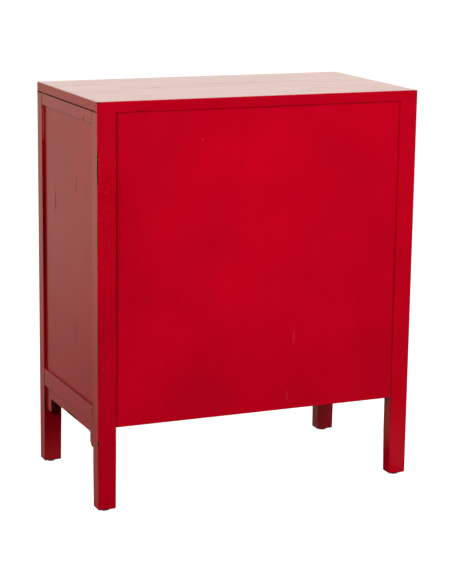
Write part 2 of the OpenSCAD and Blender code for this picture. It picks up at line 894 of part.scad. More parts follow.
// Outline of a row of dovetails that point along X, root at zero
module tails(reach, grow = 0) {
  for (i = [0:tail_count - 1]) translate([0, tail_first + i * tail_pitch]) polygon([
    [-past * sign(grow), tail_flare - tail_w / 2 - grow], [reach + grow, -tail_w / 2 - grow],
    [reach + grow, tail_w / 2 + grow], [-past * sign(grow), tail_w / 2 - tail_flare + grow]]);
}

// Both rows of tails on one drawer side, in the plane of the side
module tail_rows(grow = 0) {
  translate([front_back, 0]) mirror([1, 0]) tails(tail_l, grow);
  translate([back_front, 0]) tails(side_t, grow);
}

// Stands an outline of a drawer side up, between two places across the drawer
module side_slab(side, low_x, high_x) {
  translate([side * drawer_x, 0, drawer_z]) translate([low_x, 0, 0]) rotate([90, 0, 90])
    linear_extrude(high_x - low_x) children();
}

module drawer_tails(side, grow = 0) {
  side_slab(side, -drawer_w / 2 - past * sign(grow), side_t - drawer_w / 2 + grow) tail_rows(grow);
  side_slab(side, drawer_w / 2 - side_t - grow, drawer_w / 2 + past * sign(grow)) tail_rows(grow);
}

// Drawer bottom, or with clearance the grooves that hold it
module drawer_floor(side, grow = 0) {
  half = drawer_w / 2 - side_t + bottom_tongue + grow;
  translate([side * drawer_x, 0, drawer_z + bottom_rise])
    block([-half, front_back - bottom_tongue - grow, -grow],
      [half, drawer_end + past * sign(grow), drawer_bottom_t + grow]);
}

module drawer_front(side) {
  color(red) placed() difference() {
    intersection() {
      post([side * drawer_x - drawer_w / 2, -half_d, middle_rail_top + drawer_gap],
        [side * drawer_x + drawer_w / 2, front_back, top_rail_z - drawer_gap]);
      translate([side * drawer_x, -half_d, middle_rail_top + drawer_gap])
        bar(drawer_w, front_t, drawer_open_h - 2 * drawer_gap);
    }
    drawer_tails(side, tail_fit);
    drawer_floor(side, groove_fit);
    drawer_pull_spot(side) pull_screw(drive_fit);
  }
}

module drawer_sides(side) {
  color(stain) placed() {
    difference() {
      for (x = [-drawer_w / 2, drawer_w / 2 - side_t]) side_slab(side, x, x + side_t) {
        translate([front_back, 0]) square([back_front - front_back, side_h]);
        translate([back_front, 0]) square([side_t, bottom_rise + drawer_bottom_t]);
      }
      drawer_floor(side, groove_fit);
    }
    drawer_tails(side);
  }
}

module drawer_back(side) {
  color(stain) placed() difference() {
    block([side * drawer_x - drawer_w / 2, back_front, drawer_z + bottom_rise + drawer_bottom_t + groove_fit],
      [side * drawer_x + drawer_w / 2, drawer_end, drawer_z + side_h]);
    drawer_tails(side, tail_fit);
  }
}

module drawer_left_front() { drawer_front(left); }
module drawer_left_sides() { drawer_sides(left); }
module drawer_left_back() { drawer_back(left); }
module drawer_left_bottom() { color(stain) placed() drawer_floor(left); }
module drawer_right_front() { drawer_front(right); }
module drawer_right_sides() { drawer_sides(right); }
module drawer_right_back() { drawer_back(right); }
module drawer_right_bottom() { color(stain) placed() drawer_floor(right); }

// Section of a pull's base: rim, dished band and raised middle
module base_section() {
  slope = rim_t - dish_t;
  polygon([[0, 0], [base_r, 0], [base_r, rim_t - slope], [base_r - slope, rim_t],
    [base_r - rim_w, rim_t], [base_r - rim_w - slope, dish_t], [boss_r, dish_t],
    [boss_r - slope, base_t - slope], [boss_r - 2 * slope, base_t], [0, base_t]]);
}

// Cast pull: turned base, neck and eye, with its screw behind
module pull() {
  color(brass) {
    rotate_extrude() base_section();
    cylinder(r = eye_t / 2, h = base_t + eye_out - wire_r - ring_fit);
    difference() {
      translate([-eye_t / 2, 0, pivot_out]) rotate([0, 90, 0]) cylinder(r = eye_r, h = eye_t);
      translate([-eye_t, 0, pivot_out]) rotate([0, 90, 0]) cylinder(r = wire_r + ring_fit, h = 2 * eye_t);
    }
    pull_screw();
  }
}

// Ring that hangs from the eye
module ring() {
  color(brass) translate([0, -ring_r, pivot_out]) rotate_extrude() translate([ring_r, 0]) circle(wire_r);
}

module door_left_pull() { placed() door_pull_spot(left) pull(); }
module door_left_ring() { placed() door_pull_spot(left) ring(); }
module door_right_pull() { placed() door_pull_spot(right) pull(); }
module door_right_ring() { placed() door_pull_spot(right) ring(); }
module drawer_left_pull() { placed() drawer_pull_spot(left) pull(); }
module drawer_left_ring() { placed() drawer_pull_spot(left) ring(); }
module drawer_right_pull() { placed() drawer_pull_spot(right) pull(); }
module drawer_right_ring() { placed() drawer_pull_spot(right) ring(); }

top_board();
leg_front_left();
leg_front_right();
leg_back_left();
leg_back_right();
side_panel_left();
side_panel_right();
side_top_rail_left();
side_top_rail_right();
side_bottom_rail_left();
side_bottom_rail_right();
side_apron_left();
side_apron_right();
back_panel();
back_top_rail();
back_drawer_rail();
back_bottom_rail();
front_top_rail();
front_middle_rail();
front_bottom_rail();
front_apron();
drawer_divider();
drawer_runners();
centre_runner();
bottom_board();
bottom_cleats();
shelf();
shelf_cleats();
glides();
magnetic_catch();
top_screws();
cleat_screws();
door_left_hinge_stile();
door_left_meeting_stile();
door_left_rails();
door_left_panel();
door_left_pins();
door_left_strike();
door_right_hinge_stile();
door_right_meeting_stile();
door_right_rails();
door_right_panel();
door_right_pins();
door_right_strike();
drawer_left_front();
drawer_left_sides();
drawer_left_back();
drawer_left_bottom();
drawer_right_front();
drawer_right_sides();
drawer_right_back();
drawer_right_bottom();
door_left_pull();
door_left_ring();
door_right_pull();
door_right_ring();
drawer_left_pull();
drawer_left_ring();
drawer_right_pull();
drawer_right_ring();
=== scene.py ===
import math

import bmesh
import bpy
from mathutils import Matrix, Vector


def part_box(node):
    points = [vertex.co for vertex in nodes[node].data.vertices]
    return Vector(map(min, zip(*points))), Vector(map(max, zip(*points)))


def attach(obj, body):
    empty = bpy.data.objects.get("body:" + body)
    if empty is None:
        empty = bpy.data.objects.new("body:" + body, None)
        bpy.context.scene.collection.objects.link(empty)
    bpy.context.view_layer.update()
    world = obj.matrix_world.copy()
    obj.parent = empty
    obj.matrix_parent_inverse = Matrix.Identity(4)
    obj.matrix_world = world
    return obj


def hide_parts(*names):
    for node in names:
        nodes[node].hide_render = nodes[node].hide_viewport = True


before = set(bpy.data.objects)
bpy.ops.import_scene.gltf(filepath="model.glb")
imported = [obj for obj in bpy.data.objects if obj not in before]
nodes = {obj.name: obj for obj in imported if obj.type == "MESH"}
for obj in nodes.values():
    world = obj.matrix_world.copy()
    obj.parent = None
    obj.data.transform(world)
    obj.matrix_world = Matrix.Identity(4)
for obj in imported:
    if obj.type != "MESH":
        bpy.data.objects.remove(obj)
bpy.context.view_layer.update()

MM = 0.001

# The case, measured over the top board
case_low, case_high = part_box("top_board")
middle_y = (case_low.y + case_high.y) / 2
half_w = case_high.x
case_h = case_high.z
frame_top = case_low.z
front_y = case_low.y
back_y = case_high.y

# Where the back panel meets a leg, the side panel's face, and the front legs' inner face
joint_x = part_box("leg_back_right")[0].x - 1.5 * MM
panel_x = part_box("side_panel_right")[1].x
inside_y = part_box("leg_front_right")[1].y


# Camera, fitted to the photograph: the turn is yaw, pitch and roll in degrees

PICTURE = (452, 584)
FOCAL_PX = 1873.53
SENSOR = 36.0
CAMERA_TURN = (203.3694, -12.6583, 0.7229)
CAMERA_FROM_CASE = (1.5420, 3.5841, 1.2658)
FARTHEST = 100


def add_camera():
    yaw, pitch, roll = (math.radians(angle) for angle in CAMERA_TURN)
    beside, behind, above = CAMERA_FROM_CASE
    ahead = Vector((math.cos(pitch) * math.sin(yaw), math.cos(pitch) * math.cos(yaw), math.sin(pitch)))
    right = ahead.cross(Vector((0, 0, 1))).normalized()
    up = right.cross(ahead)
    tilted_right = math.cos(roll) * right + math.sin(roll) * up
    tilted_up = math.cos(roll) * up - math.sin(roll) * right
    data = bpy.data.cameras.new("view")
    data.sensor_fit = "VERTICAL"
    data.sensor_height = SENSOR
    data.lens = FOCAL_PX * SENSOR / PICTURE[1]
    data.clip_end = FARTHEST
    camera = bpy.data.objects.new("view", data)
    turn = Matrix((tilted_right, tilted_up, -ahead)).transposed().to_4x4()
    camera.matrix_world = Matrix.Translation((beside, behind + middle_y, above)) @ turn
    bpy.context.scene.collection.objects.link(camera)
    bpy.context.scene.camera = camera


# Shader maths

# The Mix node's sockets for a share, two colours and the mixed colour
MIX_SHARE, MIX_FIRST, MIX_SECOND, MIX_RESULT = 0, 6, 7, 2


class Value:
    """A socket that takes part in sums as a number does."""

    def __init__(self, finish, socket):
        self.finish = finish
        self.socket = socket

    def sum_with(self, operation, *others):
        inputs = dict(enumerate((self,) + others))
        return self.finish.node("Math", {"operation": operation}, inputs)

    def __add__(self, other):
        return self.sum_with("ADD", other)

    def __radd__(self, other):
        return self.sum_with("ADD", other)

    def __sub__(self, other):
        return self.sum_with("SUBTRACT", other)

    def __rsub__(self, other):
        return self.finish.node("Math", {"operation": "SUBTRACT"}, {0: other, 1: self})

    def __mul__(self, other):
        return self.sum_with("MULTIPLY", other)

    def __rmul__(self, other):
        return self.sum_with("MULTIPLY", other)

    def __truediv__(self, other):
        return self.sum_with("DIVIDE", other)

    def __pow__(self, other):
        return self.sum_with("POWER", other)

    def size(self):
        return self.sum_with("ABSOLUTE")

    def least(self, other):
        return self.sum_with("MINIMUM", other)

    def most(self, other):
        return self.sum_with("MAXIMUM", other)

    def ramp(self, start, end, low=0.0, high=1.0):
        """Goes smoothly from low at start to high at end."""
        limits = {"Value": self, "From Min": start, "From Max": end, "To Min": low, "To Max": high}
        return self.finish.node("MapRange", {"interpolation_type": "SMOOTHSTEP"}, limits)

    def sway(self, amount):
        """Makes a pattern from 0 to 1 vary about zero, by an amount."""
        return (self - 0.5) * amount


class Finish:
    """A material or the world, and the nodes that make it."""

    def __init__(self, owner):
        self.owner = owner
        owner.use_nodes = True
        self.tree = owner.node_tree
        self.tree.nodes.clear()

    def node(self, kind, settings=None, inputs=None, output=0):
        made = self.tree.nodes.new("ShaderNode" + kind)
        for name, setting in (settings or {}).items():
            setattr(made, name, setting)
        for name, value in (inputs or {}).items():
            if isinstance(value, Value):
                self.tree.links.new(value.socket, made.inputs[name])
            elif isinstance(value, (tuple, Vector)) and made.inputs[name].type == "RGBA":
                made.inputs[name].default_value = (*value, 1.0)
            else:
                made.inputs[name].default_value = value
        return Value(self, made.outputs[output])

    def place(self):
        return self.node("TexCoord", output="Object")

    def split(self, vector):
        made = self.node("SeparateXYZ", inputs={0: vector}).socket.node
        return [Value(self, out) for out in made.outputs]

    def vector(self, operation, first, second, output=0):
        return self.node("VectorMath", {"operation": operation}, {0: first, 1: second}, output)

    def scaled(self, colour, amount):
        return self.node("VectorMath", {"operation": "SCALE"}, {0: colour, "Scale": amount})

    def noise(self, vector, scale, detail=3.0, rough=0.5, stretch=(1, 1, 1), shift=(0, 0, 0)):
        moved = self.node("Mapping", inputs={"Vector": vector, "Location": shift, "Scale": stretch})
        inputs = {"Vector": moved, "Scale": scale, "Detail": detail, "Roughness": rough}
        return self.node("TexNoise", inputs=inputs)

    def mix(self, share, first, second):
        settings = {"data_type": "RGBA", "clamp_factor": True}
        inputs = {MIX_SHARE: share, MIX_FIRST: first, MIX_SECOND: second}
        return self.node("Mix", settings, inputs, MIX_RESULT)

    def away(self, place, centre, size):
        """Distance from an oval's centre, which is 1 at its rim."""
        away = self.vector("DIVIDE", self.vector("SUBTRACT", place, centre), size)
        return self.vector("LENGTH", away, (0, 0, 0), "Value")

    def oval(self, place, centre, size, ragged):
        """Share of an uneven oval patch that fades out at its rim."""
        return (self.away(place, centre, size) + ragged.sway(1.2)).ramp(0.6, 1.0, 1.0, 0.0)

    def close(self, shader, kind="OutputMaterial"):
        made = self.tree.nodes.new("ShaderNode" + kind)
        self.tree.links.new(shader.socket, made.inputs["Surface"])
        return self.owner


# Studio

CREAM = (1.0, 0.97, 0.90)
WARM = (1.0, 0.96, 0.77)
FLOOR_SIZE = 40
LAMP_SIZE = (2.2, 1.3)
LAMP_TARGET = (0, middle_y, 0.6)
LAMPS = {"left_lamp": ((2.0, 2.6, 2.1), 6.8), "right_lamp": ((-0.6, 2.6, 2.1), 6.5)}


def add_lamp(name, place, radiance):
    width, height = LAMP_SIZE
    data = bpy.data.lights.new(name, "AREA")
    data.shape = "RECTANGLE"
    data.size, data.size_y = width, height
    data.energy = radiance * math.pi * width * height
    lamp = bpy.data.objects.new(name, data)
    ahead = Vector(LAMP_TARGET) - Vector(place)
    lamp.matrix_world = Matrix.Translation(place) @ ahead.to_track_quat("-Z", "Y").to_matrix().to_4x4()
    lamp.visible_camera = False
    lamp.visible_glossy = False
    bpy.context.scene.collection.objects.link(lamp)


def build_sky():
    """White for the camera, soft light from low in front of the case, and a sky that the lacquer mirrors."""
    world = bpy.data.worlds.new("studio")
    bpy.context.scene.world = world
    sky = Finish(world)
    path = sky.node("LightPath").socket.node
    seen = Value(sky, path.outputs["Is Camera Ray"]).most(Value(sky, path.outputs["Is Transmission Ray"]))
    glossy_ray = Value(sky, path.outputs["Is Glossy Ray"])
    y, z = sky.split(sky.node("TexCoord", output="Generated"))[1:]
    soft = z.ramp(0.15, 0.5, 2.4, 0.0) * y.ramp(-0.7, -0.2, 1.0, 0.0) + 0.11
    mirrored = z.ramp(0.2, 0.6, 1.10, 0.45) * y.ramp(0.0, 0.45, 1.0, 0.04)
    level = soft * (1 - glossy_ray) + mirrored * glossy_ray
    light = sky.node("Background", inputs={"Color": sky.mix(glossy_ray, (1, 1, 1), CREAM), "Strength": level})
    white = sky.node("Background", inputs={"Color": (1, 1, 1), "Strength": 1.0})
    sky.close(sky.node("MixShader", inputs={0: seen, 1: light, 2: white}), "OutputWorld")


def build_floor():
    """Pale floor, mirrored as a glow brighter with distance, with a painted shadow under the case, dark
    behind it.
    """
    bpy.ops.mesh.primitive_plane_add(size=FLOOR_SIZE)
    floor = bpy.context.object
    floor.name = "studio_floor"
    ground = Finish(bpy.data.materials.new("studio_floor"))
    path = ground.node("LightPath").socket.node
    camera_ray = Value(ground, path.outputs["Is Camera Ray"])
    glossy_ray = Value(ground, path.outputs["Is Glossy Ray"])
    x, y = ground.split(ground.place())[:2]
    reach = (x * x + y * y) ** 0.5
    # Painted shadow of the case in the glow that the lacquer mirrors
    painted_case_shadow = x.size().ramp(half_w - 0.02, half_w + 0.03, 1.0, 0.0) * y.ramp(-0.12, 0.06)
    glow = reach.ramp(-0.5, 3.4, 0.2, 0.66) * y.ramp(0.2, 0.8, 1.0, 0.01) * (1 - painted_case_shadow)
    tone = ground.mix(camera_ray, (0.08, 0.08, 0.08), (0.9, 0.9, 0.9))
    matt = ground.node("BsdfDiffuse", inputs={"Color": ground.mix(glossy_ray, tone, (0, 0, 0))})
    shine = ground.node("Emission", inputs={"Color": ground.mix(camera_ray, WARM, (1, 1, 1)),
                                            "Strength": camera_ray * 0.92 + glossy_ray * glow})
    ground.close(ground.node("AddShader", inputs={0: matt, 1: shine}))
    floor.data.materials.append(ground.owner)


def build_studio():
    bpy.context.scene.view_settings.view_transform = "Standard"
    build_sky()
    build_floor()
    for name, (place, radiance) in LAMPS.items():
        add_lamp(name, place, radiance)


# Finishes

RED = (0.56, 0.0002, 0.0125)
# Undercoat, whose colour also serves as painted shade
UNDERCOAT_AND_SHADE = (0.014, 0.012, 0.008)
# Pale dust, whose colour also serves as painted highlight
DUST_AND_HIGHLIGHT = (0.62, 0.50, 0.46)
LEAST_TONE = 0.05

# Index of refraction of lacquer that is weakly, usually and strongly polished
WEAK_SHINE, SHINE, STRONG_SHINE = 1.33, 1.4, 1.45


def near_edges(finish, place, low, high):
    """Distance in metres to the nearest edge of a box, for a point on its surface."""
    gaps = []
    for value, a, b in zip(finish.split(place), low, high):
        gaps.append((b - a) / 2 - (value - (a + b) / 2).size())
    smaller = gaps[0].least(gaps[1])
    larger = gaps[0].most(gaps[1])
    return smaller.most(larger.least(gaps[2]))


def along(grain, amount):
    """Stretches a pattern along one axis."""
    stretch = [1.0, 1.0, 1.0]
    stretch["xyz".index(grain)] = amount
    return stretch


def red_paint(f, place, grain, shift, dull, cloud, streak):
    """Red with clouds, brush marks and fine grain: its colour, its brush marks and its relief."""
    clouds = f.noise(place, 5, 3, 0.6, shift=shift)
    brush = f.noise(place, 90, 3, 0.55, stretch=along(grain, 0.05), shift=shift)
    mottle = f.noise(place, 130, 3, 0.6, shift=shift)
    fine = f.noise(place, 900, 2, 0.5, shift=shift)
    tone = 1.0 + clouds.sway(0.42 * cloud) + brush.sway(streak) + mottle.sway(0.16) + fine.sway(0.12)
    for centre, size, share in dull:
        tone = tone - f.away(place, centre, size).ramp(0.0, 1.0, 1.0, 0.0) * share
    relief = brush * 0.25 + fine * 0.12 + clouds * 0.6
    return f.scaled(RED, tone.most(LEAST_TONE)), brush, relief


def worn_edges(f, place, edge, grain, shift, ragged, seam, line):
    """Share of undercoat in joint lines, in a thin broken line along the edges, and in chips."""
    joint = (edge + ragged.sway(0.0006)).ramp(0.0002, 0.0008, 1.0, 0.0) * seam
    length = f.noise(place, 30, 3, 0.6, stretch=along(grain, 0.35), shift=shift)
    thin = (edge + ragged.sway(0.0016)).ramp(0.0002, 0.0012, 1.0, 0.0) * length.ramp(0.42, 0.58) * line
    patch = f.noise(place, 24, 3, 0.55, shift=shift)
    chips = (edge + ragged.sway(0.005)).ramp(0.0006, 0.0026, 1.0, 0.0) * patch.ramp(0.66, 0.70)
    return thin.most(chips).most(joint)


def dust_specks(f, place, middle):
    """Share of dust in small specks round a middle on the back."""
    x, _, z = f.split(place)
    flat = f.node("CombineXYZ", inputs={0: x, 1: z})
    spots = f.node("TexVoronoi", {"voronoi_dimensions": "2D"}, {"Vector": flat, "Scale": 150.0})
    cells = spots.socket.node
    chosen = f.split(Value(f, cells.outputs["Color"]))[0].ramp(0.70, 0.72)
    near = f.vector("DISTANCE", place, middle, "Value").ramp(0.09, 0.16, 1.0, 0.0)
    return Value(f, cells.outputs["Distance"]).ramp(0.06, 0.13, 1.0, 0.0) * chosen * near * 0.13


def clear_coat(f, place, grain, shift, coat):
    """Shader inputs for a clear coat on the top face, worn in streaks along the grain."""
    z = f.split(place)[2]
    streaks = f.noise(place, 75, 4, 0.6, stretch=along(grain, 0.045), shift=shift)
    broad = f.noise(place, 8, 2, 0.5, stretch=along(grain, 0.5), shift=shift)
    worn = 1 - streaks.ramp(0.45, 0.70) * 0.38 - broad.ramp(0.4, 0.7) * 0.12
    weight = z.ramp(case_h - 0.0015, case_h - 0.0002) * worn * coat
    return {"Coat Weight": weight, "Coat Roughness": 0.2, "Coat IOR": 1.5}


def lacquer(name, low, high, grain, shift, seam=0.0, line=0.3, coat=0.0, bare=None, dust=None,
            marks=(), dull=(), cloud=1.0, streak=0.16, ior=SHINE):
    """Red lacquer over wood, worn at the edges of the box from low to high, with the grain along one axis.

    seam is the darkness of the joint lines at the box's edges, and line that of the thin worn line along
    them.
    coat is the strength of the clear coat on the top.
    bare is the distance behind the outer side face at which the lacquer ends.
    dust is the middle of a dusty patch.
    marks are small places where the undercoat shows, or pale smears where their share is below zero; some are
    painted shade in the undercoat's colour, some painted highlights.
    dull holds broad places where the red is darker, or brighter where their share is below zero; some of them
    are painted shade.
    cloud is the strength of the clouds in the red, streak that of the brush marks, and ior the refraction.
    """
    f = Finish(bpy.data.materials.new(name))
    place = f.place()
    if grain == "z" and not seam:
        past_end = Vector((0, 0, 10 * MM))
        low, high = low - past_end, high + past_end
    ragged = f.noise(place, 260, 3, 0.6, shift=shift)
    colour, brush, relief = red_paint(f, place, grain, shift, dull, cloud, streak)
    if dust is not None:
        colour = f.mix(dust_specks(f, place, dust), colour, DUST_AND_HIGHLIGHT)

    edge = near_edges(f, place, low, high)
    wear_and_shade = worn_edges(f, place, edge, grain, shift, ragged, seam, line)
    # Marks add wear, and painted shade in the undercoat's colour; pale marks add smears and painted
    # highlights
    for centre, size, share in marks:
        patch = f.oval(place, centre, size, ragged)
        if share > 0:
            wear_and_shade = wear_and_shade.most(patch * share)
        else:
            colour = f.mix(patch * -share, colour, DUST_AND_HIGHLIGHT)
    if bare is not None:
        behind_face = half_w - bare - f.split(place)[0].size()
        wear_and_shade = wear_and_shade.most((behind_face + ragged.sway(0.001)).ramp(0.0, 0.001, 0.0, 0.92))

    smudge = f.noise(place, 12, 3, 0.55, shift=shift)
    gloss = 0.19 + smudge.sway(0.06) + brush.sway(0.08)
    bump = {"Strength": 0.25, "Distance": 0.00025, "Height": relief - wear_and_shade * 1.2}
    normal = f.node("Bump", inputs=bump)
    inputs = {"Base Color": colour, "Roughness": gloss, "Normal": normal, "IOR": ior}
    if coat:
        inputs.update(clear_coat(f, place, grain, shift, coat))
    film = f.node("BsdfPrincipled", inputs=inputs)
    under = f.node("BsdfPrincipled", inputs={
        "Base Color": UNDERCOAT_AND_SHADE, "Roughness": 0.8, "Normal": normal, "Specular IOR Level": 0.1})
    return f.close(f.node("MixShader", inputs={0: wear_and_shade, 1: film, 2: under}))


def plain_wood(name, grain, light=(0.52, 0.33, 0.18), dark=(0.27, 0.14, 0.065)):
    """Oiled wood with the grain along one axis."""
    f = Finish(bpy.data.materials.new(name))
    place = f.place()
    bend = f.noise(place, 7, 3, 0.5, stretch=along(grain, 0.12))
    heart = (0.11, 0.07, 0.13)
    shifted = f.node("Mapping", inputs={"Vector": place, "Location": heart, "Scale": along(grain, 0.06)})
    figure = f.vector("ADD", shifted, f.scaled((0.05, 0.05, 0.05), bend))
    rings = f.node("TexWave", {"wave_type": "RINGS", "rings_direction": grain.upper()},
                   {"Vector": figure, "Scale": 34.0, "Distortion": 2.5, "Detail": 3.0, "Detail Scale": 1.6})
    pores = f.noise(place, 700, 2, 0.6, stretch=along(grain, 0.03))
    wide = f.noise(place, 60, 3, 0.6, stretch=along(grain, 0.04))
    colour = f.mix(rings.ramp(0.15, 0.95) * 0.45 + wide.ramp(0.3, 0.75) * 0.4, light, dark)
    colour = f.mix(pores.ramp(0.56, 0.72, 0.0, 0.55), colour, dark)
    relief = pores.ramp(0.5, 0.7, 1.0, 0.0) * 0.7 + rings * 0.3
    normal = f.node("Bump", inputs={"Strength": 0.35, "Distance": 0.0002, "Height": relief})
    return f.close(f.node("BsdfPrincipled", inputs={"Base Color": colour, "Normal": normal,
                                                    "Roughness": bend.ramp(0.3, 0.7, 0.46, 0.6)}))


def metal(name, colour, dull, rough, scale=120):
    """Metal with a dull film in patches and fine scratches."""
    f = Finish(bpy.data.materials.new(name))
    place = f.place()
    film = f.noise(place, scale, 4, 0.6)
    fine = f.noise(place, scale * 12, 3, 0.6)
    scratches = f.noise(place, scale * 14, 2, 0.5, stretch=(1, 1, 0.08))
    share = film.ramp(0.38, 0.68) * 0.7 + fine.ramp(0.5, 0.75) * 0.3
    relief = scratches * 0.6 + fine * 0.4
    normal = f.node("Bump", inputs={"Strength": 0.2, "Distance": 0.00008, "Height": relief})
    return f.close(f.node("BsdfPrincipled", inputs={
        "Base Color": f.mix(share, colour, dull), "Metallic": 1.0, "Normal": normal,
        "Roughness": rough + share * 0.2 + scratches.sway(0.1)}))


def plastic(name, colour, dirt):
    """Moulded plastic, a little dirty."""
    f = Finish(bpy.data.materials.new(name))
    place = f.place()
    film = f.noise(place, 160, 4, 0.6)
    fine = f.noise(place, 1500, 2, 0.5)
    mixed = f.mix(film.ramp(0.4, 0.75, 0.0, 0.6), colour, dirt)
    normal = f.node("Bump", inputs={"Strength": 0.15, "Distance": 0.0001, "Height": fine})
    return f.close(f.node("BsdfPrincipled", inputs={"Base Color": mixed, "Normal": normal,
                                                    "Roughness": film.ramp(0.3, 0.7, 0.35, 0.55)}))


def give(piece, *materials):
    piece.data.materials.clear()
    for material in materials:
        piece.data.materials.append(material)


# Worn and marked places, and places of painted shade and painted highlight: middle, reach along each axis,
# and share, below zero for pale ones
TOP_MARKS = [
    ((0.155, -0.005, case_h), (0.022, 0.0030, 0.004), 0.32),
    ((-0.037, -0.066, case_h), (0.010, 0.0024, 0.004), 0.28),
    ((-0.176, 0.093, case_h), (0.020, 0.0028, 0.004), 0.28),
    ((half_w, back_y, case_h), (0.0080, 0.0030, 0.0045), 1.0),
    ((-half_w, back_y, case_h - 0.012), (0.0034, 0.0040, 0.010), 1.0)]
PANEL_CRACKS = [
    ((panel_x, -0.079, 0.592), (0.010, 0.0044, 0.026), 0.60),
    ((panel_x, -0.080, 0.625), (0.010, 0.0030, 0.012), 0.30),
    ((panel_x, 0.0556, 0.647), (0.010, 0.0034, 0.022), 0.42),
    ((panel_x, 0.048, 0.338), (0.010, 0.0044, 0.034), 0.28)]
BACK_MARKS = [
    ((0.1535, back_y, 0.7967), (0.0050, 0.01, 0.0042), 0.20),
    ((0.1719, back_y, 0.7914), (0.0090, 0.01, 0.0050), 0.07),
    ((-0.0379, back_y, 0.7860), (0.0070, 0.01, 0.0060), 0.08),
    ((0.1289, back_y, 0.7481), (0.0022, 0.01, 0.0022), -0.07),
    ((-0.0781, back_y, 0.3278), (0.0034, 0.01, 0.0170), -0.02),
    ((-0.0658, back_y, 0.2038), (0.0030, 0.01, 0.0130), -0.02)]
NEAR_LEG_MARKS = [
    ((half_w, back_y, 0.700), (0.0022, 0.0022, 0.050), 1.0),
    ((half_w, back_y, 0.560), (0.0014, 0.0014, 0.090), 0.75),
    ((half_w, back_y, 0.330), (0.0014, 0.0014, 0.140), 0.75),
    ((half_w, back_y, 0.1444), (0.0028, 0.0028, 0.0075), 1.0),
    ((half_w, back_y, 0.110), (0.0014, 0.0014, 0.040), 0.8),
    ((half_w - 0.002, back_y, 0.7185), (0.0010, 0.0020, 0.0012), -0.5),
    ((half_w - 0.001, back_y, 0.7040), (0.0010, 0.0020, 0.0010), -0.4),
    ((half_w, 0.1885, 0.0359), (0.0030, 0.0012, 0.0012), -0.7),
    ((0.3386, back_y, 0.2977), (0.0011, 0.01, 0.0011), -0.25),
    # Painted shadow line in the gap under the top board
    ((half_w, back_y - 0.016, frame_top), (0.0040, 0.0300, 0.0012), 0.9)]
# Painted shadow in the gap under the top board and under the rail, painted shade and highlights in the reveal
# beside the side panel
FAR_LEG_PAINTED_LIGHT = [
    ((half_w, front_y + 0.016, frame_top), (0.0040, 0.0300, 0.0010), 0.8),
    ((half_w - 0.0030, inside_y, 0.140), (0.0040, 0.0030, 0.035), 0.7),
    ((half_w - 0.0030, inside_y, 0.750), (0.0016, 0.0030, 0.050), -0.22),
    ((half_w - 0.0034, inside_y, 0.440), (0.0020, 0.0030, 0.280), 0.5),
    ((half_w - 0.0060, inside_y, 0.250), (0.0018, 0.0030, 0.045), -0.08)]
TOP_RAIL_MARKS = [
    ((half_w, 0.1167, 0.7895), (0.010, 0.0032, 0.0062), 0.7),
    ((half_w, back_y - 0.0315, 0.797), (0.010, 0.0018, 0.0200), 0.3),
    ((half_w, inside_y + 0.001, 0.797), (0.010, 0.0034, 0.0220), 0.85),
    # Painted shadow line in the gap under the top board
    ((half_w, middle_y, frame_top), (0.010, 0.2500, 0.0010), 0.8)]
BOTTOM_RAIL_MARKS = [
    ((half_w, back_y - 0.0315, 0.195), (0.010, 0.0022, 0.0300), 0.6),
    ((half_w, inside_y + 0.001, 0.195), (0.010, 0.0030, 0.0300), 0.85),
    ((half_w, middle_y, 0.1775), (0.010, 0.2000, 0.0012), 0.5),
    # Painted shadow line where the recessed side panel meets the rail
    ((half_w, middle_y, 0.2138), (0.010, 0.2500, 0.0010), 0.45)]
APRON_CHIPS = [
    ((panel_x, middle_y, 0.1760), (0.010, 0.2000, 0.0020), 0.4),
    ((panel_x, 0.020, 0.1550), (0.006, 0.050, 0.0036), 0.9),
    ((panel_x, 0.150, 0.1480), (0.006, 0.004, 0.0050), 0.7)]

# Places where the red is darker, some of them painted shade: middle, reach, and share, below zero for a
# brighter place
TOP_DULL = [((0.100, back_y, 0.818), (0.900, 0.006, 0.030), 0.16)]
# Painted shade in the grooves beside the back legs and under the top board, then broad darker and brighter
# places
BACK_TONE_AND_GROOVE_SHADE = [
    ((joint_x, back_y, 0.450), (0.0050, 0.01, 1.2), 0.40),
    ((-joint_x, back_y, 0.450), (0.0040, 0.01, 1.2), 0.15),
    ((-joint_x, back_y, 0.738), (0.0040, 0.01, 0.045), 0.24),
    ((-joint_x, back_y, 0.400), (0.0040, 0.01, 0.240), 0.20),
    ((-joint_x, back_y, 0.190), (0.0045, 0.01, 0.040), 0.34),
    ((-0.100, back_y, frame_top - 0.0012), (1.2, 0.01, 0.0036), 0.42),
    ((0.160, back_y, 0.210), (0.200, 0.01, 0.060), 0.07),
    ((0.330, back_y, 0.660), (0.200, 0.01, 0.550), 0.11),
    ((0.100, back_y, 0.810), (0.350, 0.01, 0.120), 0.05),
    ((-0.050, back_y, 0.480), (0.280, 0.01, 0.310), -0.07)]
# Painted shade that makes the near leg's back face darker than its side
NEAR_LEG_PAINTED_SHADE = [((0.330, back_y, 0.600), (0.100, 0.003, 1.6), 0.17)]
# Painted shade on the far front leg's inner face, under the case and in the reveal beside the side panel
FAR_LEG_PAINTED_SHADE = [
    ((half_w - 0.0195, inside_y, 0.030), (0.100, 0.003, 0.350), 0.52),
    ((half_w - 0.0002, inside_y, 0.500), (0.0030, 0.0022, 0.800), 0.5),
    ((half_w - 0.0026, inside_y, 0.485), (0.0026, 0.0030, 0.420), 0.85),
    ((half_w - 0.0065, inside_y, 0.500), (0.0040, 0.0030, 0.800), 0.2)]
# Painted shade on the hidden front leg's inner face, under the case
HIDDEN_LEG_PAINTED_SHADE = [((0.0195 - half_w, inside_y, 0.030), (0.100, 0.003, 0.350), 0.54)]

